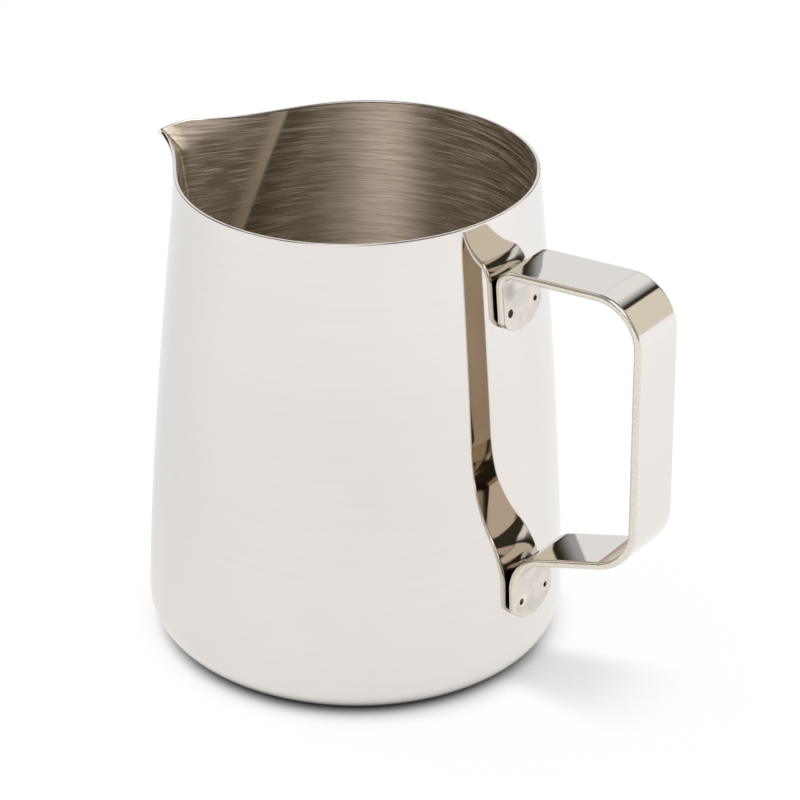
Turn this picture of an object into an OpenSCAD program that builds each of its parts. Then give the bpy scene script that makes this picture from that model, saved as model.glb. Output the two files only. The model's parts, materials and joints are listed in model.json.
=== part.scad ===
// Milk frothing pitcher: a one-piece drawn steel jug with a pinched pouring spout,
// and a bent strap handle whose two end tabs lie on the jug, each held by two spot welds.
// Millimetres. The origin is the centre of the base, +X points along the handle, the
// spout points along -X, and the jug stands on the plane z = 0.

/* [Jug] */
// Height of the rim above the table, measured on the jug's axis
jug_height = 108.6; // [90:0.1:140]
// Outer radius of the round part of the rim
rim_radius = 38.6; // [35:0.1:42]
// Outer radius of the jug at its widest, just above the base
belly_radius = 45.9; // [43:0.1:54]
// Radius of the rounded edge between side and base
foot_radius = 8.2; // [5:0.1:14]
// Thickness of the sheet that the jug is drawn from
wall = 0.8; // [0.6:0.05:1.5]
// How the side curves in: 1 is a straight cone, more keeps the belly fuller
side_curve = 1.41; // [1.1:0.01:2]
// Angle at which the rim rises from the spout to the handle
rim_slope = 2; // [0:0.1:5]

/* [Spout] */
// How far the pinched spout stands out of the round rim, without its lip
spout_reach = 10.2; // [6:0.1:15]
// Height over which the spout grows out of the side
spout_depth = 54; // [30:1:75]
// Half of the spout's angle at the rim, seen from above
spout_angle = 46; // [38:0.5:60]
// Half of the spout's angle at its lower end
spout_low_angle = 20; // [12:0.5:34]
// Angle over which the spout's front is rounded
spout_front = 2.5; // [1.5:0.1:6]
// How far the lip at the tip curls outwards
lip_reach = 4.5; // [1:0.1:6]
// Height of the curled lip
lip_height = 4.5; // [2:0.1:6]
// Angle to each side over which the lip curls
lip_angle = 27; // [12:0.5:36]
// How far the rim sinks along the spout
spout_drop = 2.2; // [0:0.1:4]
// How much further it sinks at the very tip
tip_drop = 2; // [0:0.1:4]

/* [Handle strap] */
// Width of the strap
strap_width = 14.6; // [11:0.1:20]
// Thickness of the strap
strap_thickness = 1.7; // [1.2:0.1:2.5]
// Radius of the strap's long edges
strap_edge = 0.6; // [0.3:0.05:0.8]
// Room for fingers between the belly and the grip
finger_gap = 28.6; // [22:0.1:40]
// How much nearer to the jug the grip is at its top than at its foot
grip_lean = 1.1; // [0:0.1:4]
// Distance of the upper bar below the rim, where it leaves its tab
upper_bar_drop = 9.9; // [7:0.1:14]
// Rise of the upper bar from its tab to the grip
upper_bar_rise = 2.1; // [0:0.1:5]
// Height of the lower bar where it leaves its tab
lower_bar_height = 31.7; // [30:0.1:36]
// Rise of the lower bar from its tab to the grip
lower_bar_rise = 8.9; // [4:0.1:12]
// Bend radius between the upper tab and its bar
upper_tab_bend = 3.4; // [2:0.1:5]
// Bend radius between the upper bar and the grip
upper_grip_bend = 9.8; // [6:0.1:13]
// Bend radius between the grip and the lower bar
lower_grip_bend = 11; // [6:0.1:13]
// Bend radius between the lower bar and its tab
lower_tab_bend = 9; // [5:0.1:10]
// Radius of the arc that ends each tab
tab_end_radius = 9; // [8:0.1:15]

/* [Spot welds] */
// Distance of the upper pair of welds below the rim
upper_weld_drop = 19.8; // [18:0.1:24]
// Height of the lower pair of welds
lower_weld_height = 21; // [18:0.1:23]
// Distance between the two welds of a pair
weld_spacing = 9.2; // [7:0.1:9.6]
// Distance from the welds to the end of their tab
weld_to_end = 5.2; // [4:0.1:7]
// Radius of a weld
weld_radius = 0.85; // [0.6:0.05:1.2]
// How deep a weld's face lies below the face of the strap
weld_sink = 0.35; // [0.1:0.05:0.7]

/* [Hidden] */
// Air between a tab and the jug, and between a weld and its hole.
seat_gap = 0.05;
weld_gap = 0.03;
// Angles to each side of the spout over which the rim sinks, and over which its tip does.
drop_angle = 62;
tip_angle = 4.6;
// How hollow the spout's flanks are, and how fast the spout grows towards the rim.
spout_hollow = 2.9;
spout_growth = 1.5;
// How soon the lip's curl and the rim's drop fade away beside the spout.
lip_fade = 4;
drop_fade = 2;
// Columns of the jug's surface from the spout round to the handle, closer at the spout.
columns = 44;
column_spread = 1.6;
foot_rows = 5;
side_rows = 10;
lip_rows = 4;
nudge = 0.02;
// Steps round each bend of the strap, and round each of its long edges.
bend_steps = 12;
edge_steps = 3;
$fn = 96;

left = 1;
right = -1;

// ---------- the jug's surface ----------

// Outer radius of the round side at height z, above the rounded foot.
function side_radius(z) =
    belly_radius - (belly_radius - rim_radius)
    * pow(max(0, z - foot_radius) / (jug_height - foot_radius), side_curve);

// The angle from the spout, with a rounded front in place of a sharp one.
function front_angle(turn) = sqrt(turn * turn + spout_front * spout_front) - spout_front;

// Fades from 1 at the spout's middle to 0 at its edge.
function fade(turn, edge, power) = pow(max(0, 1 - abs(turn) / edge), power);

// How far the spout stands out, at an angle from its middle and a depth below the rim.
function spout_bulge(turn, depth) =
    let (grown = max(0, 1 - max(0, depth) / spout_depth),
         edge = spout_low_angle + (spout_angle - spout_low_angle) * grown)
    spout_reach * pow(grown, spout_growth) * fade(front_angle(turn), edge, spout_hollow);

// How far the lip curls out, more and more towards its edge.
function lip_curl(turn, depth) =
    lip_reach * fade(front_angle(turn), lip_angle, lip_fade) * pow(max(0, 1 - depth / lip_height), 2);

// Height of the rim's edge, with its slope and with the drop at the spout.
function rim_height(turn) =
    jug_height - tan(rim_slope) * rim_radius * cos(turn)
    - spout_drop * fade(turn, drop_angle, drop_fade)
    - tip_drop * fade(front_angle(turn), tip_angle, drop_fade);

// A point on the side. up runs from 0 at the foot to 1 below the lip, and on to 2 at the edge.
function side_point(turn, up) =
    let (rim = rim_height(turn),
         low = rim - lip_height,
         z = up < 1 ? foot_radius + (low - foot_radius) * up : low + lip_height * (up - 1),
         out = side_radius(z) + spout_bulge(turn, rim - z) + lip_curl(turn, rim - z))
    [-out * cos(turn), out * sin(turn), z];

function unit(v) = v / norm(v);

// The same point moved in by a depth along the surface's normal.
function inset_point(turn, up, depth) =
    let (across = side_point(turn + nudge, up) - side_point(turn - nudge, up),
         along = side_point(turn, up) - side_point(turn, up - nudge))
    side_point(turn, up) + depth * unit(cross(across, along));

// A point on the rounded foot, from the base at angle 0 to the side at angle 90.
function foot_point(turn, angle, depth) =
    let (out = belly_radius - foot_radius + (foot_radius - depth) * sin(angle),
         z = foot_radius - (foot_radius - depth) * cos(angle))
    [-out * cos(turn), out * sin(turn), z];

turns = [for (i = [-columns : columns - 1]) sign(i) * 180 * pow(abs(i) / columns, column_spread)];
ring = len(turns);

// One skin of the jug, from the base up to the edge of the rim.
function skin(depth) = concat(
    [for (row = [0 : foot_rows - 1], turn = turns) foot_point(turn, 90 * row / foot_rows, depth)],
    [for (row = [0 : side_rows - 1], turn = turns)
        row == 0 ? foot_point(turn, 90, depth) : inset_point(turn, row / side_rows, depth)],
    [for (row = [0 : lip_rows], turn = turns) inset_point(turn, 1 + row / lip_rows, depth)]);

rows = foot_rows + side_rows + lip_rows + 1;

// The triangles between two closed rings of count points, from their first points' numbers.
function band(low, high, count) =
    [for (i = [0 : count - 1], half = [0, 1])
        let (next = (i + 1) % count)
        half == 0 ? [low + i, low + next, high + i] : [low + next, high + next, high + i]];

// All the bands between rings that follow one another.
function bands(first, count, rings) =
    [for (row = [0 : rings - 2]) each band(first + count * row, first + count * (row + 1), count)];

function flipped(faces) = [for (face = faces) [face[0], face[2], face[1]]];

// A flat face over a whole ring, facing against the way that the rings follow one another.
function cap(first, count) = [for (i = [count - 1 : -1 : 0]) first + i];
function end_cap(first, count) = [for (i = [0 : count - 1]) first + i];

module jug_body() {
    inside = ring * rows;
    edge = ring * (rows - 1);
    color("gainsboro")
        polyhedron(concat(skin(0), skin(wall)),
            concat(bands(0, ring, rows), flipped(bands(inside, ring, rows)),
                band(edge, inside + edge, ring), [cap(0, ring), end_cap(inside, ring)]));
}

// ---------- the strap's path, as [x, z] points on its middle line ----------

function side_lean(z) = atan((side_radius(z - nudge) - side_radius(z + nudge)) / (2 * nudge));

upper_weld_height = jug_height - upper_weld_drop;
upper_bar_height = jug_height - upper_bar_drop;
grip_foot_reach = belly_radius + finger_gap + strap_thickness / 2;
to_middle = seat_gap + strap_thickness / 2;

// The point of a tab's middle line at height z, for a tab seated on the jug at its welds.
function tab_point(weld_z, z) =
    let (lean = side_lean(weld_z),
         x = side_radius(weld_z) + to_middle * cos(lean),
         seat = weld_z + to_middle * sin(lean))
    [x - (z - seat) * tan(lean), z];

function tab_end(weld_z) =
    let (lean = side_lean(weld_z), seat = weld_z + to_middle * sin(lean))
    tab_point(weld_z, seat - weld_to_end * cos(lean));

path = [
    tab_end(upper_weld_height),
    tab_point(upper_weld_height, upper_bar_height),
    [grip_foot_reach - grip_lean, upper_bar_height + upper_bar_rise],
    [grip_foot_reach, lower_bar_height + lower_bar_rise],
    tab_point(lower_weld_height, lower_bar_height),
    tab_end(lower_weld_height),
];
bend_radii = [0, upper_tab_bend, upper_grip_bend, lower_grip_bend, lower_tab_bend, 0];
legs = len(path) - 1;

function heading(leg) = let (step = path[leg + 1] - path[leg]) atan2(step[1], step[0]);
function turned(angle) = angle - 360 * round(angle / 360);
// The turn at a corner of the path, positive to the left.
function corner_turn(i) = turned(heading(i) - heading(i - 1));
// The length that a bend takes from the legs on each side of its corner.
function bend_cut(i) = i == 0 || i == legs ? 0 : bend_radii[i] * tan(abs(corner_turn(i)) / 2);

// The path's stations, each a point and a heading, close together round a bend.
function bend_stations(i) =
    let (side = sign(corner_turn(i)),
         way = heading(i - 1),
         start = path[i] - [cos(way), sin(way)] * bend_cut(i),
         centre = start + side * bend_radii[i] * [-sin(way), cos(way)])
    [for (step = [0 : bend_steps])
        let (now = way + corner_turn(i) * step / bend_steps)
        [centre + side * bend_radii[i] * [sin(now), -cos(now)], now]];

stations = concat(
    [[path[0], heading(0)]],
    [for (i = [1 : legs - 1]) each bend_stations(i)],
    [[path[legs], heading(legs - 1)]]);

// The long edges are round, and never more than half as round as the strap is thick.
edge_radius = min(strap_edge, strap_thickness / 2 - nudge);

// The strap's section, a rectangle with rounded corners, as [thickness, width] points.
section = [for (corner = [0 : 3], step = [0 : edge_steps])
    let (angle = 90 * (corner + step / edge_steps),
         thick_side = corner == 0 || corner == 3 ? 1 : -1,
         wide_side = corner < 2 ? 1 : -1)
    [thick_side * (strap_thickness / 2 - edge_radius) + edge_radius * cos(angle),
     wide_side * (strap_width / 2 - edge_radius) + edge_radius * sin(angle)]];

function station_point(station, corner) =
    let (at = station[0], way = station[1])
    [at[0] - sin(way) * corner[0], corner[1], at[1] + cos(way) * corner[0]];

module bent_strap() {
    points = [for (station = stations, corner = section) station_point(station, corner)];
    count = len(section);
    rings = len(stations);
    polyhedron(points,
        concat(bands(0, count, rings), [cap(0, count), end_cap(count * (rings - 1), count)]));
}

// Places its children on the jug at a pair of welds: x runs down the tab, y across, z outwards.
module on_tab(weld_z) {
    translate([side_radius(weld_z), 0, weld_z])
        rotate([0, 90 - side_lean(weld_z), 0])
            children();
}

// What is cut off a tab's square end to leave an arc.
module tab_end_trim() {
    corner = tab_end_radius - sqrt(pow(tab_end_radius, 2) - pow(strap_width / 2, 2));
    difference() {
        translate([weld_to_end - corner, -strap_width, -strap_thickness])
            cube([corner + 1, 2 * strap_width, 3 * strap_thickness]);
        translate([weld_to_end - tab_end_radius, 0, -2 * strap_thickness])
            cylinder(r = tab_end_radius, h = 5 * strap_thickness);
    }
}

module handle_strap() {
    color("silver")
        difference() {
            bent_strap();
            for (weld_z = [upper_weld_height, lower_weld_height]) {
                on_tab(weld_z) {
                    tab_end_trim();
                    for (side = [left, right])
                        translate([0, side * weld_spacing / 2, -strap_thickness])
                            cylinder(r = weld_radius + weld_gap, h = 3 * strap_thickness);
                }
            }
        }
}

// ---------- the welds ----------

// A weld fills its hole from the jug's skin to just below the strap's face.
module spot_weld(weld_z, side) {
    radius = side_radius(weld_z);
    // The round jug falls away behind the flat tab, and the weld reaches after it.
    near_edge = weld_spacing / 2 - weld_radius;
    back = seat_gap - (radius - sqrt(radius * radius - near_edge * near_edge));
    front = seat_gap + strap_thickness - weld_sink;
    color("dimgray")
        on_tab(weld_z)
            translate([0, side * weld_spacing / 2, back])
                cylinder(r = weld_radius, h = front - back);
}

module upper_weld_left() { spot_weld(upper_weld_height, left); }
module upper_weld_right() { spot_weld(upper_weld_height, right); }
module lower_weld_left() { spot_weld(lower_weld_height, left); }
module lower_weld_right() { spot_weld(lower_weld_height, right); }

jug_body();
handle_strap();
upper_weld_left();
upper_weld_right();
lower_weld_left();
lower_weld_right();
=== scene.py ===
import json
import math
import bpy
import bmesh
from mathutils import Matrix, Vector
from mathutils.bvhtree import BVHTree

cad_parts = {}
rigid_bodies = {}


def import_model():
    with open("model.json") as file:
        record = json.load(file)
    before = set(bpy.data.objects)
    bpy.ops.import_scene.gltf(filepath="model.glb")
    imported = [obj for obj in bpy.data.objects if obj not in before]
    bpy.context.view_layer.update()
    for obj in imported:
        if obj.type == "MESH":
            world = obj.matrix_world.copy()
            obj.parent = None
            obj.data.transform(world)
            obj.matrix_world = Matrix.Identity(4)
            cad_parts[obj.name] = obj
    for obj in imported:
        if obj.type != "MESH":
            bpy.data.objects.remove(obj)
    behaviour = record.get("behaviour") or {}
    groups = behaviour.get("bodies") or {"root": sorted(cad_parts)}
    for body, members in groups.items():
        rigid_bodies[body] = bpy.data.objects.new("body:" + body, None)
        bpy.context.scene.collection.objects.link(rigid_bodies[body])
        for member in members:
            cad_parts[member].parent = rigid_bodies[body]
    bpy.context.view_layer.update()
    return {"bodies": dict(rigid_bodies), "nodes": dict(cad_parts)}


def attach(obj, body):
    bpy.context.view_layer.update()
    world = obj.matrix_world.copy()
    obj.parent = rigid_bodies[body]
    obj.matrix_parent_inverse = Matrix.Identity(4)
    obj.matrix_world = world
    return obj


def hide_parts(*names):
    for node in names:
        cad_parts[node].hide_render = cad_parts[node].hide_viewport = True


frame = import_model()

mm = 0.001
body = list(frame["bodies"])[0]
print("frame:", sorted(frame["nodes"]))

# camera, set by the photograph's points

photo = {"width": 800, "height": 800}
photoCamera = {
    "place": (0.4035, -0.5634, 0.4243),
    "aim": (0.00767, 0.00549, 0.0534),
    "roll": 0.72,          # degrees, the right-hand side up
    "lens": 162.05,
    "sensorWidth": 36.0,
    "shift": (0.0, 0.0),
    "clip": (0.01, 20.0),
}
imagePoints = {
    "leftX": 151.7, "rightX": 676.6, "topY": 99.4, "bottomY": 705.0,
    "spoutTip": (158.6, 131.6),
    "rimNear": (350.0, 243.7),
    "rimRight": (540.0, 168.0),
    "upperWeldNear": (511.1, 312.8), "upperWeldFar": (535.6, 298.7),
    "lowerWeldNear": (522.6, 599.8), "lowerWeldFar": (546.4, 583.7),
    "upperTabEnd": (513.0, 331.9), "lowerTabEnd": (523.7, 618.4),
    "gripNearEdge": (637.0, 450.0),
    "upperTabDarkSpot": (510.0, 291.0),
}


def makeCamera():
    lens = bpy.data.cameras.new("photoCamera")
    lens.sensor_fit = "AUTO"
    lens.sensor_width = photoCamera["sensorWidth"]
    lens.lens = photoCamera["lens"]
    lens.shift_x, lens.shift_y = photoCamera["shift"]
    lens.clip_start, lens.clip_end = photoCamera["clip"]
    camera = bpy.data.objects.new("photoCamera", lens)
    bpy.context.scene.collection.objects.link(camera)
    place = Vector(photoCamera["place"])
    look = (Vector(photoCamera["aim"]) - place).normalized()
    level = look.to_track_quat("-Z", "Y").to_matrix().to_4x4()
    roll = Matrix.Rotation(math.radians(photoCamera["roll"]), 4, "Z")
    camera.matrix_world = Matrix.Translation(place) @ level @ roll
    bpy.context.scene.camera = camera
    bpy.context.view_layer.update()
    return camera


camera = makeCamera()
longSide = max(photo["width"], photo["height"])
lensPixels = longSide * photoCamera["lens"] / photoCamera["sensorWidth"]


def inPicture(point):
    x, y, z = camera.matrix_world.inverted() @ Vector(point)
    shiftX, shiftY = photoCamera["shift"]
    return (photo["width"] / 2 + x / -z * lensPixels - shiftX * longSide,
            photo["height"] / 2 - y / -z * lensPixels + shiftY * longSide)


def underPoint(x, y, carrier):
    shiftX, shiftY = photoCamera["shift"]
    ray = Vector((x - photo["width"] / 2 + shiftX * longSide,
                  photo["height"] / 2 - y + shiftY * longSide, -lensPixels))
    place = camera.matrix_world
    way = (place.to_3x3() @ ray).normalized()
    met = carrier.ray_cast(place.translation, way)[0]
    if met is None:
        reach = (Vector(photoCamera["aim"]) - place.translation).length
        met = carrier.find_nearest(place.translation + way * reach)[0]
    return met


# shader sheets

class Wire:
    def __init__(self, sheet, socket):
        self.sheet, self.socket = sheet, socket

    def maths(self, operation, *values):
        return self.sheet.node("Math", {"operation": operation}, dict(enumerate(values)))

    def __add__(self, other): return self.maths("ADD", self, other)
    def __radd__(self, other): return self.maths("ADD", other, self)
    def __sub__(self, other): return self.maths("SUBTRACT", self, other)
    def __rsub__(self, other): return self.maths("SUBTRACT", other, self)
    def __mul__(self, other): return self.maths("MULTIPLY", self, other)
    def __rmul__(self, other): return self.maths("MULTIPLY", other, self)
    def __truediv__(self, other): return self.maths("DIVIDE", self, other)
    def __rtruediv__(self, other): return self.maths("DIVIDE", other, self)
    def __pow__(self, other): return self.maths("POWER", self, other)
    def __abs__(self): return self.maths("ABSOLUTE", self)
    def larger(self, other): return self.maths("MAXIMUM", self, other)


class Sheet:
    def __init__(self, owner):
        owner.use_nodes = True
        self.tree = owner.node_tree
        self.tree.nodes.clear()

    def node(self, kind, settings=None, sockets=None, take=0):
        made = self.tree.nodes.new("ShaderNode" + kind)
        for name, value in (settings or {}).items():
            if name == "stops":
                ramp = made.color_ramp.elements
                while len(ramp) < len(value):
                    ramp.new(1.0)
                for stop, (place, colour) in zip(ramp, value):
                    stop.position, stop.color = place, colour
            else:
                setattr(made, name, value)
        for name, value in (sockets or {}).items():
            if isinstance(value, Wire):
                self.tree.links.new(value.socket, made.inputs[name])
            else:
                made.inputs[name].default_value = value
        return Wire(self, made.outputs[take])

    def noise(self, where, scale, detail, roughness=0.5, tilt=0.0):
        if isinstance(scale, tuple):   # drawn out: a scale for each way
            where = self.node("Mapping", {}, {
                "Vector": where, "Rotation": (tilt, -tilt, 0), "Scale": scale})
            scale = 1.0
        return self.node("TexNoise", {}, {
            "Vector": where, "Scale": scale, "Detail": detail, "Roughness": roughness})

    def bump(self, look, height):
        return self.node("Bump", {}, {
            "Strength": look["bumpStrength"], "Distance": look["bump"], "Height": height})

    def between(self, value, low, high):   # 0 below low, 1 above high, smooth
        return self.node("MapRange", {"interpolation_type": "SMOOTHSTEP"},
                         {"Value": value, "From Min": low, "From Max": high})

    def blend(self, factor, first, second):
        return self.node("Mix", {"data_type": "RGBA"}, {0: factor, 6: first, 7: second}, 2)

    def split(self, way):
        parts = self.node("SeparateXYZ", {}, {0: way}).socket.node
        return [Wire(self, output) for output in parts.outputs]

    def vector(self, operation, *values, take=0):
        return self.node("VectorMath", {"operation": operation}, dict(enumerate(values)), take)

    def finish(self, surface, kind="OutputMaterial"):
        last = self.tree.nodes.new("ShaderNode" + kind)
        self.tree.links.new(surface.socket, last.inputs["Surface"])


def material(name):   # with its sheet and the place on the piece
    made = bpy.data.materials.new(name)
    sheet = Sheet(made)
    return made, sheet, sheet.node("TexCoord", take=3)


def rgb(red, green, blue):
    return (red, green, blue, 1.0)


# the steel

polish = {
    "colour": (0.83, 0.80, 0.775), "shade": (0.805, 0.772, 0.745), "toneRange": (0.3, 0.7),
    "roughness": 0.045, "spread": 0.03, "dullRange": (0.35, 0.75),
    "roundJug": (14.0, 14.0, 900.0), "acrossStrap": (900.0, 14.0, 14.0),   # the polishing lines
    "lineDetail": 3.0, "lineRoughness": 0.6,
    "smears": 26.0, "smearDetail": 3.0, "smearShare": 0.7,
    "bump": 0.00001, "bumpStrength": 0.03,
}
# the inside of the grip has a dark brown colour: painted shade and a painted reflection of the dark,
# shaded area this face looks onto
gripInsideShaded = dict(polish, colour=(0.42, 0.325, 0.225), shade=(0.36, 0.27, 0.18),
                  roughness=0.06, spread=0.04, smears=40.0)


def polishedSteel(name, look, lineScale):
    made, sheet, where = material(name)
    lines = sheet.noise(where, lineScale, look["lineDetail"], look["lineRoughness"])
    smears = sheet.noise(where, look["smears"], look["smearDetail"])
    share = look["smearShare"]
    tone = sheet.between(lines * (1 - share) + smears * share, *look["toneRange"])
    colour = sheet.blend(tone, rgb(*look["shade"]), rgb(*look["colour"]))
    dull = sheet.between(smears, *look["dullRange"]) * lines
    steel = sheet.node("BsdfPrincipled", {}, {
        "Base Color": colour, "Metallic": 1.0, "Roughness": look["roughness"] + look["spread"] * dull,
        "Normal": sheet.bump(look, lines)})
    sheet.finish(steel)
    return made


brush = {
    "colour": (1.0, 0.895, 0.785), "shade": (0.74, 0.635, 0.525), "toneRange": (0.42, 0.58),
    "roughness": 0.52, "spread": 0.06, "anisotropic": 1.0, "turned": 0.25,
    # the brushed lines: scale round the jug, scale across the lines, detail
    "fine": (120.0, 5200.0, 2.0), "long": (40.0, 5200.0, 1.0), "broad": (50.0, 1700.0, 2.0),
    "scratches": (30.0, 4400.0, 1.0), "lineRoughness": 0.6, "fineShare": 0.65, "tilt": 0.05,
    "lightLines": (0.55, 0.66), "lightScratches": (0.61, 0.67),
    "dull": 0.38,                   # how far the light lines lose the metal's mirror
    "bump": 0.00003, "bumpStrength": 0.4,
    "baseHeight": (0.003, 0.012),   # below it the lines run round in rings
    # the soft crease on both sides of the spout, with a painted highlight along it and painted shade on
    # its side away from the spout: turn at the height, turn for each metre up
    "creaseTurn": 17.4, "creaseHeight": 0.0824, "creaseClimb": 519.0, "creaseWidth": 3.4,
    "creasePaintedHighlight": (-1.9, -0.1, 0.5), "creaseShadow": (0.5, 0.8, 4.0),   # shares of the width
    # how far the painted highlight dulls the metal, how dark the painted shade goes, and the painted
    # highlight's colour
    "creaseHighlightDull": 0.30, "creasePaintedShadeDepth": 0.36, "creaseHighlightColour": (1.0, 0.86, 0.70),
    # the smoother metal inside the tip of the spout
    "lipTurn": (1.2, 3.2), "lipHeight": (0.0985, 0.1015), "lipRoughness": 0.32,
}


def brushedSteel(name, look):
    made, sheet, where = material(name)
    x, y, z = sheet.split(where)
    onBase = 1 - sheet.between(z, *look["baseHeight"])
    rings = sheet.node("CombineXYZ", {}, {0: x, 1: y, 2: z + onBase * (x * x + y * y) ** 0.5})

    def streaks(kind, tilt=0.0):   # noise drawn out round the jug's axis
        along, across, detail = look[kind]
        return sheet.noise(rings, (along, along, across), detail, look["lineRoughness"], tilt)

    fine, scratches = streaks("fine"), streaks("scratches", look["tilt"])
    marks = fine * look["fineShare"] + streaks("broad") * (1 - look["fineShare"])
    tone = sheet.between(marks, *look["toneRange"])
    colour = sheet.blend(tone, rgb(*look["shade"]), rgb(*look["colour"]))
    lines = sheet.between(fine, *look["lightLines"]).larger(
        sheet.between(scratches, *look["lightScratches"]))
    # painted highlight along the crease beside the spout, with painted shade on its side away from the
    # spout; the painted highlight also takes away some of the metal's mirror
    turn = abs(sheet.node("Math", {"operation": "ARCTAN2"}, {0: y, 1: 0 - x})) * (180 / math.pi)
    past = turn - look["creaseTurn"] - look["creaseClimb"] * (z - look["creaseHeight"])
    start, full, stop = (look["creaseWidth"] * share for share in look["creasePaintedHighlight"])
    paintedHighlightMask = sheet.between(past, start, full) * sheet.between(past, stop, 0.0)
    full, fades, stop = (look["creaseWidth"] * share for share in look["creaseShadow"])
    paintedShadeMask = sheet.between(past, 0.0, full) * sheet.between(past, stop, fades)
    colour = sheet.blend(paintedHighlightMask, colour, rgb(*look["creaseHighlightColour"]))
    colour = sheet.blend(paintedShadeMask * look["creasePaintedShadeDepth"], colour, rgb(0, 0, 0))
    roughness = look["roughness"] + look["spread"] * (1 - tone)
    lip = sheet.between(z, *look["lipHeight"]) * (1 - sheet.between(turn, *look["lipTurn"]))
    roughness = roughness - (look["roughness"] - look["lipRoughness"]) * lip
    metal = 1 - (look["dull"] * lines).larger(look["creaseHighlightDull"] * paintedHighlightMask)
    steel = sheet.node("BsdfPrincipled", {}, {
        "Base Color": colour, "Metallic": metal, "Roughness": roughness,
        "Anisotropic": look["anisotropic"], "Anisotropic Rotation": look["turned"],
        "Normal": sheet.bump(look, streaks("long"))})
    sheet.finish(steel)
    return made


satin = {
    "colour": (0.76, 0.705, 0.655), "shade": (0.66, 0.615, 0.575), "toneRange": (0.35, 0.6),
    "roughness": 0.17, "spread": 0.08,
    "mottle": 190.0, "mottleDetail": 3.0, "mottleShare": 0.7,
    "grain": (1200.0, 60.0, 1200.0), "grainDetail": 2.0,
    "bump": 0.00004, "bumpStrength": 0.15,
    # a darker spot round a point on the upper tab
    "darkSpot": (0.40, 0.37, 0.34), "darkSpotRange": (0.00066, 0.00308), "darkSpotShare": 0.8,
    "darkSpotRagged": 0.004,          # how far the mottling pulls the dark spot out of round
    "halo": (0.86, 0.80, 0.70), "haloRange": (0.001275, 0.0017),
}


def satinSteel(name, look, darkSpotAt, haloAt):
    made, sheet, where = material(name)
    mottle = sheet.noise(where, look["mottle"], look["mottleDetail"])
    grain = sheet.noise(where, look["grain"], look["grainDetail"])
    tone = sheet.between(mottle, *look["toneRange"])
    colour = sheet.blend(tone, rgb(*look["shade"]), rgb(*look["colour"]))
    # a darker spot round a point on the upper tab, drawn by distance from it
    away = sheet.vector("DISTANCE", where, darkSpotAt, take=1)
    darkSpotMask = 1 - sheet.between(away + look["darkSpotRagged"] * (mottle - 0.5), *look["darkSpotRange"])
    colour = sheet.blend(darkSpotMask * look["darkSpotShare"], colour, rgb(*look["darkSpot"]))
    away = sheet.vector("DISTANCE", where, haloAt, take=1)
    halo = 1 - sheet.between(away, *look["haloRange"])
    colour = sheet.blend(halo, colour, rgb(*look["halo"]))
    share = look["mottleShare"]
    steel = sheet.node("BsdfPrincipled", {}, {
        "Base Color": colour, "Metallic": 1.0,
        "Roughness": look["roughness"] + look["spread"] * mottle,
        "Normal": sheet.bump(look, mottle * share + grain * (1 - share))})
    sheet.finish(steel)
    return made


# the cut edge is tumbled but not polished, and the weld beads are dark and rough
cutEdge = {
    "colour": (0.82, 0.77, 0.69), "shade": (0.75, 0.695, 0.615), "toneRange": (0.38, 0.62),
    "roughness": 0.17, "spread": 0.06, "metal": 0.82,
    "grain": (1300.0, 3000.0, 1300.0), "detail": 3.0, "grainRoughness": 0.6,
    "bump": 0.00002, "bumpStrength": 0.1,
}
weldBead = {
    "colour": (0.20, 0.155, 0.11), "shade": (0.03, 0.024, 0.018), "toneRange": (0.4, 0.6),
    "roughness": 0.35, "spread": 0.3, "metal": 1.0,
    "grain": 2400.0, "detail": 3.0, "grainRoughness": 0.5,
    "bump": 0.0001, "bumpStrength": 0.4,
}


def grainySteel(name, look):
    made, sheet, where = material(name)
    grain = sheet.noise(where, look["grain"], look["detail"], look["grainRoughness"])
    tone = sheet.between(grain, *look["toneRange"])
    colour = sheet.blend(tone, rgb(*look["shade"]), rgb(*look["colour"]))
    steel = sheet.node("BsdfPrincipled", {}, {
        "Base Color": colour, "Metallic": look["metal"],
        "Roughness": look["roughness"] + look["spread"] * grain,
        "Normal": sheet.bump(look, grain)})
    sheet.finish(steel)
    return made


outsideSteel = polishedSteel("jugOutsidePolished", polish, polish["roundJug"])
rimSteel = polishedSteel("jugRimPolished", polish, polish["roundJug"])
insideSteel = brushedSteel("jugInsideBrushed", brush)
strapSteel = polishedSteel("strapPolished", polish, polish["acrossStrap"])
# the grip's inside, with its painted shade and painted reflection
gripInsideShadedSteel = polishedSteel("gripInsidePaintedShade", gripInsideShaded, gripInsideShaded["acrossStrap"])
edgeSteel = grainySteel("strapEdgeSatin", cutEdge)
beadSteel = grainySteel("weldBead", weldBead)
print("steels made")


# mesh helper

def makePiece(name, points, faces, steels, zones=None, nodes=()):
    mesh = bpy.data.meshes.new(name)
    mesh.from_pydata([tuple(mm * value for value in point) for point in points], [], faces)
    for steel in steels:
        mesh.materials.append(steel)
    if zones:
        mesh.polygons.foreach_set("material_index", zones)
    shape = bmesh.new()
    shape.from_mesh(mesh)
    bmesh.ops.recalc_face_normals(shape, faces=shape.faces)
    shape.to_mesh(mesh)
    shape.free()
    mesh.polygons.foreach_set("use_smooth", [True] * len(mesh.polygons))
    mesh.update()
    piece = bpy.data.objects.new(name, mesh)
    bpy.context.scene.collection.objects.link(piece)
    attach(piece, body)
    if nodes:
        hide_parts(*nodes)
    print(name, len(mesh.vertices), "points", len(mesh.polygons), "faces")
    return piece


# the jug

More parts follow.
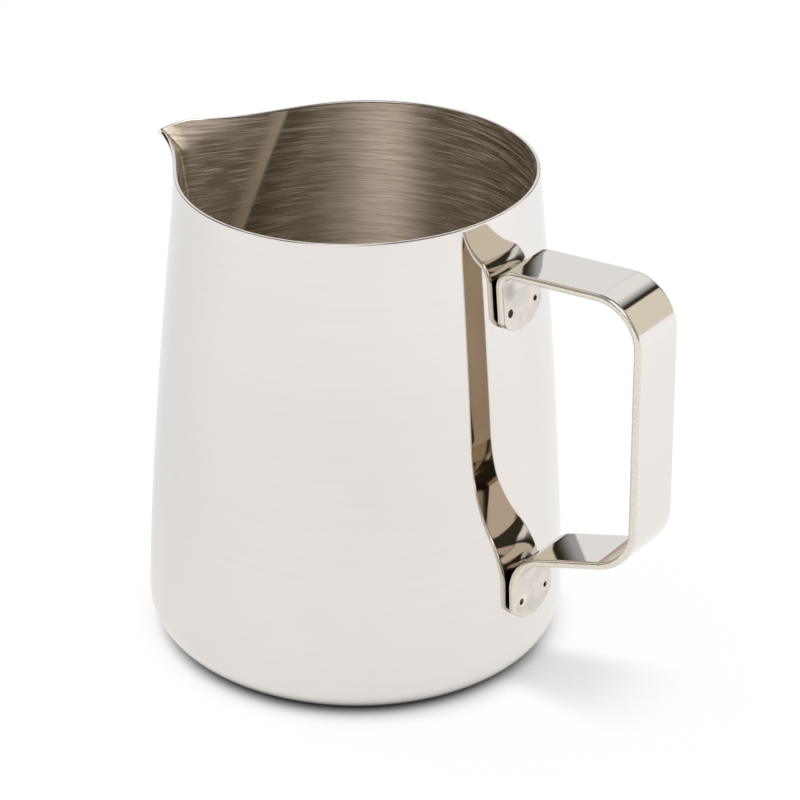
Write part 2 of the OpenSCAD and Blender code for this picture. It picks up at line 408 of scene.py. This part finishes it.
jug = {
    "height": 108.6, "rimRadius": 38.6, "bellyRadius": 45.85, "footRadius": 8.2, "wall": 0.8,
    "sideCurve": 1.41, "rimSlope": 2.0,
    "columns": 150, "columnSpread": 1.6,     # more columns stand near the spout
    "footRows": 10, "sideRows": 44, "lipRows": 10, "baseRings": 8,
    "rimSteps": 12, "rimSquare": 0.5,        # below 1 the rim's half circle is squarer
    "probe": 0.02, "lipProbe": 0.1,          # steps for measuring a slope
}
spout = {
    "reach": 10.2, "depth": 54.0, "angle": 46.0, "lowAngle": 20.0, "front": 2.5,
    "lipReach": 4.5, "lipHeight": 4.5, "lipAngle": 27.0, "lipFade": 4.0,
    "drop": 2.2, "dropAngle": 62.0, "tipDrop": 2.0, "tipAngle": 4.6, "dropFade": 2.0,
    "hollow": 2.9, "growth": 1.5,
}


def sideRadius(z):
    rise = max(0.0, z - jug["footRadius"]) / (jug["height"] - jug["footRadius"])
    return jug["bellyRadius"] - (jug["bellyRadius"] - jug["rimRadius"]) * rise ** jug["sideCurve"]


def frontAngle(turn):
    return math.hypot(turn, spout["front"]) - spout["front"]


def fade(turn, edge, power):
    return max(0.0, 1 - abs(turn) / edge) ** power


def spoutBulge(turn, depth):
    grown = max(0.0, 1 - max(0.0, depth) / spout["depth"])
    edge = spout["lowAngle"] + (spout["angle"] - spout["lowAngle"]) * grown
    return spout["reach"] * grown ** spout["growth"] * fade(frontAngle(turn), edge, spout["hollow"])


def lipCurl(turn, depth):
    curl = max(0.0, 1 - depth / spout["lipHeight"]) ** 2
    return spout["lipReach"] * fade(frontAngle(turn), spout["lipAngle"], spout["lipFade"]) * curl


def rimHeight(turn):
    slope = math.tan(math.radians(jug["rimSlope"])) * math.cos(math.radians(turn))
    return (jug["height"] - slope * jug["rimRadius"]
            - spout["drop"] * fade(turn, spout["dropAngle"], spout["dropFade"])
            - spout["tipDrop"] * fade(frontAngle(turn), spout["tipAngle"], spout["dropFade"]))


def around(turn, out, z):
    return Vector((-out * math.cos(math.radians(turn)), out * math.sin(math.radians(turn)), z))


def sidePoint(turn, up):
    rim = rimHeight(turn)
    low = rim - spout["lipHeight"]
    foot = jug["footRadius"]
    z = foot + (low - foot) * up if up < 1 else low + spout["lipHeight"] * (up - 1)
    return around(turn, sideRadius(z) + spoutBulge(turn, rim - z) + lipCurl(turn, rim - z), z)


# up runs from 0 at the foot to 1 at the foot of the lip and 2 at the rim
def sideFrame(turn, up):   # the point, the way inwards and the way up there
    probe = jug["probe"]
    point = sidePoint(turn, up)
    across = sidePoint(turn + probe, up) - sidePoint(turn - probe, up)
    along = (point - sidePoint(turn, up - probe)).normalized()
    return point, across.cross(along).normalized(), along


def footPoint(turn, angle, depth):
    foot = jug["footRadius"]
    lean = math.radians(angle)
    return around(turn, jug["bellyRadius"] - foot + (foot - depth) * math.sin(lean),
                  foot - (foot - depth) * math.cos(lean))


def jugColumn(turn):
    wall, half = jug["wall"], jug["wall"] / 2
    edge, inward, upward = sideFrame(turn, 2.0)
    # the last row of the side stands half a wall below the rim's edge
    lipStep = jug["lipProbe"]
    lipLength = (sidePoint(turn, 2.0) - sidePoint(turn, 2.0 - lipStep)).length
    lastUp = 2.0 - half / lipLength * lipStep
    ups = [row / jug["sideRows"] for row in range(1, jug["sideRows"])]
    ups += [1 + (lastUp - 1) * row / jug["lipRows"] for row in range(jug["lipRows"] + 1)]
    flat = jug["bellyRadius"] - jug["footRadius"]
    outer = [around(turn, flat * ring / jug["baseRings"], 0) for ring in range(1, jug["baseRings"])]
    inner = [around(turn, flat * ring / jug["baseRings"], wall)
             for ring in range(1, jug["baseRings"])]
    for row in range(jug["footRows"] + 1):
        angle = 90 * row / jug["footRows"]
        outer.append(footPoint(turn, angle, 0))
        inner.append(footPoint(turn, angle, wall))
    for up in ups:
        point, way, _ = sideFrame(turn, up)
        outer.append(point)
        inner.append(point + way * wall)
    centre = edge - upward * half + inward * half
    rim = []
    for step in range(1, jug["rimSteps"]):   # a half circle drawn out towards its corners
        angle = math.pi * step / jug["rimSteps"]
        across = math.copysign(abs(math.cos(angle)) ** jug["rimSquare"], math.cos(angle))
        rim.append(centre + (upward * math.sin(angle) ** jug["rimSquare"] - inward * across) * half)
    return outer, rim, inner[::-1]


jugZones = {"outside": 0, "rim": 1, "inside": 2}


def makeJug():
    count = jug["columns"]
    turns = [math.copysign(180 * (abs(step) / count) ** jug["columnSpread"], step)
             for step in range(-count, count)]
    columns = [jugColumn(turn) for turn in turns]
    outerRows, rimRows, _ = (len(part) for part in columns[0])
    points = [(0, 0, 0), (0, 0, jug["wall"])]
    for outer, rim, inner in columns:
        points += outer + rim + inner
    rows = (len(points) - 2) // len(columns)
    faces, zones = [], []
    for side in range(len(columns)):
        here = 2 + side * rows
        there = 2 + (side + 1) % len(columns) * rows
        faces.append((0, there, here))
        zones.append(jugZones["outside"])
        for row in range(rows - 1):
            faces.append((here + row, there + row, there + row + 1, here + row + 1))
            zone = "outside" if row < outerRows - 1 else "rim" if row < outerRows + rimRows else "inside"
            zones.append(jugZones[zone])
        faces.append((1, here + rows - 1, there + rows - 1))
        zones.append(jugZones["inside"])
    return makePiece("jug", points, faces, [outsideSteel, rimSteel, insideSteel], zones,
                     ["jug_body"])


jugPiece = makeJug()

# the handle strap

strap = {
    "width": 14.6, "thickness": 1.7, "edge": 0.6, "gripReach": 74.5, "gripLean": 1.1,
    "upperBarDrop": 9.9, "upperBarRise": 2.1, "lowerBarHeight": 31.7, "lowerBarRise": 8.9,
    "bends": (3.4, 9.8, 11.0, 9.0), "endRadius": 9.0, "seatGap": 0.07,
    "bendSteps": 30, "tabStep": 0.16, "barSteps": 10, "across": 88, "edgeSteps": 6,
    "arcFade": 7.0,     # length over which the stations straighten behind a tab's rounded end
}
weld = {
    "upperDrop": 19.8, "lowerHeight": 21.0, "spacing": 9.2, "toEnd": 5.2,
    # the radius of each pit
    "pits": {"upperLeft": 0.66, "upperRight": 0.92, "lowerLeft": 0.64, "lowerRight": 0.74},
    "pitDepth": 0.42, "pitWall": 0.3,
    "beadShare": 0.68, "beadRise": 0.16, "beadSink": 0.05, "beadSegments": 24, "beadRings": 5,
}
strapZones = {"polished": 0, "gripInsideShaded": 1, "pit": 2, "tab": 3, "edge": 4}


def sideLean(z):
    step = jug["probe"]
    return math.atan((sideRadius(z - step) - sideRadius(z + step)) / (2 * step))


def seatedAt(weldZ):
    lean = sideLean(weldZ)
    off = strap["seatGap"] + strap["thickness"] / 2
    return lean, sideRadius(weldZ) + off * math.cos(lean), weldZ + off * math.sin(lean)


def tabPoint(weldZ, z):
    lean, x, seat = seatedAt(weldZ)
    return Vector((x - (z - seat) * math.tan(lean), z))


def tabEnd(weldZ):
    lean, _, seat = seatedAt(weldZ)
    return tabPoint(weldZ, seat - weld["toEnd"] * math.cos(lean))


def strapPath():
    upperZ = jug["height"] - weld["upperDrop"]
    barZ = jug["height"] - strap["upperBarDrop"]
    reach = strap["gripReach"] + strap["thickness"] / 2
    corners = [tabEnd(upperZ), tabPoint(upperZ, barZ),
               Vector((reach - strap["gripLean"], barZ + strap["upperBarRise"])),
               Vector((reach, strap["lowerBarHeight"] + strap["lowerBarRise"])),
               tabPoint(weld["lowerHeight"], strap["lowerBarHeight"]),
               tabEnd(weld["lowerHeight"])]
    ways = [math.atan2(b.y - a.y, b.x - a.x) for a, b in zip(corners, corners[1:])]
    pieces, at = [], corners[0]   # each piece: start, heading, length, turn
    for number, radius in enumerate(strap["bends"], 1):
        turn = (ways[number] - ways[number - 1] + math.pi) % (2 * math.pi) - math.pi
        cut = radius * math.tan(abs(turn) / 2)
        way = ways[number - 1]
        start = corners[number] - Vector((math.cos(way), math.sin(way))) * cut
        pieces.append((at, way, (start - at).length, 0.0))
        pieces.append((start, way, radius * abs(turn), turn))
        way = ways[number]
        at = corners[number] + Vector((math.cos(way), math.sin(way))) * cut
    pieces.append((at, ways[-1], (corners[-1] - at).length, 0.0))
    return pieces


pathPieces = strapPath()
pathLength = sum(piece[2] for piece in pathPieces)


def alongPath(s):   # the point of the middle line at a length from the upper end, and its heading
    for number, (start, way, length, turn) in enumerate(pathPieces):
        if s <= length or number == len(pathPieces) - 1:
            if turn == 0:
                return start + Vector((math.cos(way), math.sin(way))) * s, way
            now = way + turn * s / length
            radius = length / turn
            return start + Vector((math.sin(now) - math.sin(way),
                                   math.cos(way) - math.cos(now))) * radius, now
        s -= length


def onStrap(s, across, off):
    at, way = alongPath(s)
    return Vector((at.x - math.sin(way) * off, across, at.y + math.cos(way) * off))


def tabArc(across, inset):   # how far the rounded end falls back from its middle
    radius = strap["endRadius"] - inset
    return radius - math.sqrt(radius * radius - across * across)


def insidePit(s, across):   # how far inside the edge of the pit of the nearest weld
    pair = "upper" if s < pathLength / 2 else "lower"
    place = weld["toEnd"] if pair == "upper" else pathLength - weld["toEnd"]
    radius = weld["pits"][pair + ("Left" if across > 0 else "Right")]
    return radius - math.hypot(s - place, abs(across) - weld["spacing"] / 2)


def pitDepth(s, across):
    share = min(1.0, max(0.0, insidePit(s, across) / weld["pitWall"]))
    return weld["pitDepth"] * share * share * (3 - 2 * share)


def strapStations():
    tabLength = pathPieces[0][2]
    lowTab = pathPieces[-1][2]
    edge = strap["edge"]
    marks = []
    steps = round((tabLength - edge) / strap["tabStep"])
    marks += [edge + (tabLength - edge) * step / steps for step in range(steps)]
    done = tabLength
    for _, _, length, turn in pathPieces[1:-1]:
        steps = strap["bendSteps"] if turn else strap["barSteps"]
        marks += [done + length * step / steps for step in range(steps)]
        done += length
    steps = round((lowTab - edge) / strap["tabStep"])
    marks += [done + (lowTab - edge) * step / steps for step in range(steps + 1)]
    return marks


def makeStrap():
    edge, half = strap["edge"], strap["thickness"] / 2
    flat = strap["width"] / 2 - edge
    marks = strapStations()
    wide = [flat * (2 * step / strap["across"] - 1) for step in range(strap["across"] + 1)]
    # near each end the stations bend into the end's arc
    rows = []
    for s in marks:
        row = []
        for across in wide:
            back = tabArc(across, edge)
            near = max(0.0, 1 - (s - edge) / strap["arcFade"])
            far = max(0.0, 1 - (pathLength - edge - s) / strap["arcFade"])
            row.append((s + back * near - back * far, across))
        rows.append(row)
    last, end = len(wide) - 1, len(rows) - 1
    points, faces, zones = [], [], []
    gripFrom = sum(piece[2] for piece in pathPieces[:3])
    gripTo = sum(piece[2] for piece in pathPieces[:6])
    upperTabTo = pathPieces[0][2] + pathPieces[1][2]
    lowerTabFrom = pathLength - pathPieces[-1][2] - pathPieces[-2][2]

    def zone(face, s, across):
        if insidePit(s, across) > 0:
            return strapZones["pit"]
        # the grip's inside takes the steel with painted shade and painted reflection
        if face == "under" and gripFrom < s < gripTo:
            return strapZones["gripInsideShaded"]
        if (face == "under" and s < upperTabTo) or (face == "top" and s > lowerTabFrom):
            return strapZones["tab"]
        return strapZones["polished"]

    number = {}

    def add(key, s, across, off):
        number[key] = len(points)
        points.append(onStrap(s, across, off))

    for i, row in enumerate(rows):
        for j, (s, across) in enumerate(row):
            pit = pitDepth(s, across)
            lowEnd = s > pathLength / 2
            add(("top", i, j), s, across, half - (pit if lowEnd else 0))
            add(("under", i, j), s, across, -half + (0 if lowEnd else pit))
    for i in range(end):
        for j in range(last):
            for face, flip in (("top", False), ("under", True)):
                loop = [number[face, i, j], number[face, i + 1, j],
                        number[face, i + 1, j + 1], number[face, i, j + 1]]
                faces.append(loop[::-1] if flip else loop)
                zones.append(zone(face, (rows[i][j][0] + rows[i + 1][j][0]) / 2,
                                  (wide[j] + wide[j + 1]) / 2))
    # the rounded edge runs round the outline
    outline = [(i, 0) for i in range(end)] + [(end, j) for j in range(last)]
    outline += [(i, last) for i in range(end, 0, -1)] + [(0, j) for j in range(last, 0, -1)]

    def outward(i, j):
        s, across = rows[i][j]
        way = Vector((0, 0))
        if i in (0, end):
            radius = strap["endRadius"] - edge
            sign = -1 if i == 0 else 1
            way += Vector((sign * math.sqrt(radius * radius - across * across), across)) / radius
        if j in (0, last):
            way += Vector((0, -1 if j == 0 else 1))
        if i in (0, end) and j in (0, last):
            return way / (way.length_squared / 2)
        return way

    rings = []
    levels = strap["edgeSteps"]
    for level in range(1, levels):
        lean = math.radians(90 - 180 * level / levels)
        ring = []
        for i, j in outline:
            s, across = rows[i][j]
            way = outward(i, j) * edge * math.cos(lean)
            off = math.copysign(half - edge, math.sin(lean)) if level != levels / 2 else 0
            add(("ring", level, i, j), s + way.x, across + way.y, off + edge * math.sin(lean))
            ring.append(number["ring", level, i, j])
        rings.append(ring)
    top = [number["top", i, j] for i, j in outline]
    under = [number["under", i, j] for i, j in outline]
    rings = [top] + rings + [under]
    for high, low in zip(rings, rings[1:]):
        for k in range(len(outline)):
            n = (k + 1) % len(outline)
            faces.append((high[k], high[n], low[n], low[k]))
            zones.append(strapZones["edge"])
    return makePiece("handleStrap", points, faces,
                     [strapSteel, gripInsideShadedSteel, beadSteel, strapSteel, edgeSteel], zones,
                     ["handle_strap"])


strapPiece = makeStrap()
strapTree = BVHTree.FromPolygons([v.co for v in strapPiece.data.vertices],
                                 [face.vertices for face in strapPiece.data.polygons])
darkSpotAt = underPoint(*imagePoints["upperTabDarkSpot"], strapTree)
haloAt = underPoint(*imagePoints["lowerWeldNear"], strapTree)
strapPiece.data.materials[strapZones["tab"]] = satinSteel("tabSatin", satin, darkSpotAt, haloAt)


def makeBead(name, node, s, side, face):
    count, rings = weld["beadSegments"], weld["beadRings"]
    across = side * weld["spacing"] / 2
    radius = insidePit(s, across) * weld["beadShare"]
    floor = strap["thickness"] / 2 - weld["pitDepth"] - weld["beadSink"]
    rise = weld["beadRise"] + weld["beadSink"]
    points = [onStrap(s, across, face * (floor + rise)), onStrap(s, across, face * floor)]
    for ring in range(1, rings + 1):
        share = ring / rings
        out = radius * math.sin(math.pi / 2 * share)
        height = floor + rise * math.cos(math.pi / 2 * share)
        for step in range(count):
            turn = 2 * math.pi * step / count
            points.append(onStrap(s + out * math.cos(turn), across + out * math.sin(turn),
                                  face * height))
    faces = []
    for step in range(count):
        n = (step + 1) % count
        faces.append((0, 2 + step, 2 + n))
        for ring in range(rings - 1):
            low, high = 2 + ring * count, 2 + (ring + 1) * count
            faces.append((low + step, high + step, high + n, low + n))
        bottom = 2 + (rings - 1) * count
        faces.append((1, bottom + n, bottom + step))
    return makePiece(name, points, faces, [beadSteel], None, [node])


for pair, s, face in (("upper", weld["toEnd"], -1), ("lower", pathLength - weld["toEnd"], 1)):
    for hand, side in (("Left", 1), ("Right", -1)):
        makeBead(pair + "Weld" + hand, pair + "_weld_" + hand.lower(), s, side, face)

# floor, world and lamps

studio = {
    "floorRadius": 1.2, "floorSides": 96, "floorSink": 0.0002,
    "floorColour": (0.97, 0.97, 0.97), "floorGlow": 0.95, "mirrorGlow": 0.85,
    "handleShade": 0.8, "shadeTurn": 5.0, "shadeSpread": (14.0, 2.0), "shadeReach": (0.055, 0.085),
    # painted contact shadow: the floor's colour turns dark inside this ring round the jug's foot, and
    # the steel mirrors it as a dark band along the foot
    "contactShadowColour": (0.10, 0.095, 0.09), "contactShadowRing": (0.0390, 0.0455),
    "crevice": (0.0400, 0.0500),     # the floor's own glow starts beyond the jug's foot
    "farRing": (0.15, 0.42), "far": (1.06, 1.06, 1.06),   # the floor is lighter far from the jug
    "fill": (0.94, 0.94, 0.945),
    "room": (0.036, 0.034, 0.022), "horizon": (0.0, -1.0),
}
# how light the floor is in the steel, by the turn from the handle
floorTones = {
    -180.0: (0.80, 0.805, 0.81), -126.0: (0.905, 0.895, 0.885), -48.0: (0.90, 0.895, 0.875),
    0.0: (0.95, 0.945, 0.93), 38.0: (1.0, 0.995, 0.99), 85.0: (0.93, 0.935, 0.94),
    180.0: (0.80, 0.805, 0.81),
}
# what the steel mirrors above the floor, drawn one over the other: turn from, to, height from,
# to, softness in turn and in height, all in degrees, and colour
panels = {
    "softbox": (70.0, 150.0, 28.0, 44.0, 24.0, 4.0, (0.90, 0.885, 0.86)),
    "lowSide": (74.0, 150.0, -3.5, 31.0, 28.0, 3.0, (0.43, 0.435, 0.44)),
    "lowLight": (112.0, 150.0, -3.5, 36.0, 7.0, 3.0, (0.86, 0.855, 0.85)),
    "gap": (67.5, 78.5, 0.5, 88.0, 4.5, 2.0, (0.03, 0.028, 0.02)),
    "wall": (10.0, 71.0, -3.5, 42.0, 2.5, 4.0, (0.78, 0.72, 0.58)),
    "wallTop": (34.0, 69.0, 38.0, 64.0, 5.0, 5.0, (0.62, 0.51, 0.39)),
    "overheadLow": (-108.0, -44.0, 6.0, 114.0, 30.0, 24.0, (2.35, 2.25, 2.10)),
    "overhead": (-118.0, 8.0, 44.0, 114.0, 44.0, 6.0, (2.1, 2.01, 1.88)),
    "rightDim": (-34.0, 12.0, 8.0, 80.0, 8.0, 6.0, (0.29, 0.28, 0.19)),
    "leftWall": (-150.0, -106.0, 8.0, 62.0, 8.0, 8.0, (0.22, 0.205, 0.145)),
    "leftStrip": (-151.0, -135.0, 30.0, 80.0, 5.0, 5.0, (0.75, 0.72, 0.65)),
    "backLight": (146.0, 186.0, 49.0, 68.0, 5.0, 4.0, (0.92, 0.90, 0.87)),
    "backLightLeft": (-186.0, -164.0, 49.0, 68.0, 5.0, 4.0, (0.92, 0.90, 0.87)),
}
keyLamp = {
    "place": (-1.35, -0.25, 2.15), "aim": (0.0, 0.0, 0.04), "size": 2.4, "power": 19.0,
    "colour": (1.0, 0.995, 0.98),
}


def makeFloor():
    count, radius = studio["floorSides"], studio["floorRadius"]
    mesh = bpy.data.meshes.new("floor")
    ring = [(radius * math.cos(2 * math.pi * step / count),
             radius * math.sin(2 * math.pi * step / count), 0.0) for step in range(count)]
    mesh.from_pydata(ring, [], [list(range(count))])
    made, sheet, where = material("floorPaper")
    away = sheet.vector("LENGTH", where, take=1)
    x, y, _ = sheet.split(where)
    turn = sheet.node("Math", {"operation": "ARCTAN2"}, {0: y, 1: x})
    stops = [(angle / 360 + 0.5, rgb(*tone)) for angle, tone in floorTones.items()]
    tone = sheet.node("ValToRGB", {"stops": stops}, {0: turn / (2 * math.pi) + 0.5})
    farTone = sheet.between(away, *studio["farRing"])
    tone = sheet.node("Mix", {"data_type": "RGBA", "blend_type": "MULTIPLY"},
                      {0: farTone, 6: tone, 7: rgb(*studio["far"])}, 2)
    path = sheet.node("LightPath", take=0)
    glossy = Wire(sheet, path.socket.node.outputs["Is Glossy Ray"])
    tone = sheet.blend(glossy, rgb(1, 1, 1), tone)
    # painted contact shadow: the floor's colour is dark next to the jug's foot
    colour = sheet.blend(sheet.between(away, *studio["contactShadowRing"]),
                         rgb(*studio["contactShadowColour"]), rgb(*studio["floorColour"]))
    diffuse = sheet.node("BsdfDiffuse", {}, {"Color": colour})
    glow = sheet.node("Emission", {}, {"Color": tone, "Strength": 1.0})
    # under the handle the paper glows less, so that the handle's shadow shows there
    wide, narrow = (math.cos(math.radians(angle)) for angle in studio["shadeSpread"])
    middle = math.radians(studio["shadeTurn"])
    facing = (x * math.cos(middle) + y * math.sin(middle)) / away
    under = sheet.between(facing, wide, narrow) * (1 - sheet.between(away, *studio["shadeReach"]))
    shown = 1 - under * studio["handleShade"]
    share = (path * studio["floorGlow"] * shown).larger(glossy * studio["mirrorGlow"])
    share = share * sheet.between(away, *studio["crevice"])
    sheet.finish(sheet.node("MixShader", {}, {0: share, 1: diffuse, 2: glow}))
    mesh.materials.append(made)
    floor = bpy.data.objects.new("floor", mesh)
    floor.location.z = -studio["floorSink"]
    bpy.context.scene.collection.objects.link(floor)


def makeWorld():
    world = bpy.data.worlds.new("studio")
    bpy.context.scene.world = world
    sheet = Sheet(world)
    x, y, z = sheet.split(sheet.node("TexCoord", take=0))
    height = sheet.node("Math", {"operation": "ARCSINE"}, {0: z}) * (180 / math.pi)
    turn = sheet.node("Math", {"operation": "ARCTAN2"}, {0: y, 1: x}) * (180 / math.pi)
    room = rgb(*studio["room"])
    for left, right, low, high, softTurn, softHeight, colour in panels.values():
        lit = (sheet.between(turn, left, left + softTurn)
               * sheet.between(turn, right, right - softTurn)
               * sheet.between(height, low, low + softHeight)
               * sheet.between(height, high, high - softHeight))
        room = sheet.blend(lit, room, rgb(*colour))
    # white below the horizon, where the floor ends
    room = sheet.blend(sheet.between(height, *studio["horizon"]), room, rgb(1, 1, 1))
    path = sheet.node("LightPath", take=0)
    diffuse = Wire(sheet, path.socket.node.outputs["Is Diffuse Ray"])
    colour = sheet.blend(diffuse, room, rgb(*studio["fill"]))
    colour = sheet.blend(path, colour, rgb(1, 1, 1))
    sheet.finish(sheet.node("Background", {}, {0: colour, 1: 1.0}), "OutputWorld")


def makeLamp(name, look):   # it lights the part but doesn't show in its mirror
    lamp = bpy.data.lights.new(name, "AREA")
    lamp.shape, lamp.size, lamp.energy, lamp.color = "DISK", look["size"], look["power"], look["colour"]
    holder = bpy.data.objects.new(name, lamp)
    holder.location = look["place"]
    way = Vector(look["aim"]) - Vector(look["place"])
    holder.rotation_euler = way.to_track_quat("-Z", "Y").to_euler()
    holder.visible_glossy = False
    holder.visible_camera = False
    bpy.context.scene.collection.objects.link(holder)


makeFloor()
makeWorld()
makeLamp("keyLamp", keyLamp)
bpy.context.scene.view_settings.view_transform = "Standard"
print("studio ready")

# where things show in the picture

reportSteps = {"turns": 360, "tabEnd": 40, "grip": 40}


def crossing(line, y):   # where a line in the picture crosses a height
    for (fromX, fromY), (toX, toY) in zip(line, line[1:]):
        if (fromY - y) * (toY - y) <= 0 and fromY != toY:
            return fromX + (toX - fromX) * (y - fromY) / (toY - fromY)


def pictureReport():
    seen = {}
    spots = [inPicture(piece.matrix_world @ v.co)
             for piece in (jugPiece, strapPiece) for v in piece.data.vertices]
    seen["leftX"] = min(x for x, _ in spots) - imagePoints["leftX"]
    seen["rightX"] = max(x for x, _ in spots) - imagePoints["rightX"]
    seen["topY"] = min(y for _, y in spots) - imagePoints["topY"]
    seen["bottomY"] = max(y for _, y in spots) - imagePoints["bottomY"]
    turns = [360 * step / reportSteps["turns"] - 180 for step in range(reportSteps["turns"])]
    rim = [inPicture(sidePoint(turn, 2.0) * mm) for turn in turns]
    inner = []
    for turn in turns:
        point, inward, _ = sideFrame(turn, 2.0)
        inner.append(inPicture((point + inward * jug["wall"]) * mm))
    half, side = strap["thickness"] / 2, strap["width"] / 2
    spacing = weld["spacing"] / 2
    low = pathLength - weld["toEnd"]

    def lowest(s, face, sign):   # the lowest point in the picture of a tab's rounded end
        flat, steps = side - strap["edge"], reportSteps["tabEnd"]
        wide = [flat * (2 * step / steps - 1) for step in range(steps + 1)]
        end = [inPicture(onStrap(s + sign * tabArc(across, 0), across, face * half) * mm)
               for across in wide]
        return max(end, key=lambda spot: spot[1])

    gripTo = sum(piece[2] for piece in pathPieces[:5])
    gripLine = [inPicture(onStrap(gripTo - back, -side, half) * mm)
                for back in range(reportSteps["grip"], 0, -1)]
    features = {
        "spoutTip": inPicture(sidePoint(0.0, 2.0) * mm),
        "rimNear": max(inner, key=lambda spot: spot[1]),
        "rimRight": max(rim),
        "upperWeldNear": inPicture(onStrap(weld["toEnd"], -spacing, -half) * mm),
        "upperWeldFar": inPicture(onStrap(weld["toEnd"], spacing, -half) * mm),
        "lowerWeldNear": inPicture(onStrap(low, -spacing, half) * mm),
        "lowerWeldFar": inPicture(onStrap(low, spacing, half) * mm),
        "upperTabEnd": lowest(0.0, -1, 1),
        "lowerTabEnd": lowest(pathLength, 1, -1),
        "gripNearEdge": (crossing(gripLine, imagePoints["gripNearEdge"][1]),
                         imagePoints["gripNearEdge"][1]),
        "upperTabDarkSpot": inPicture(darkSpotAt),
    }
    for name, (x, y) in features.items():
        seen[name] = [x - imagePoints[name][0], y - imagePoints[name][1]]
    return seen


pictureReport()
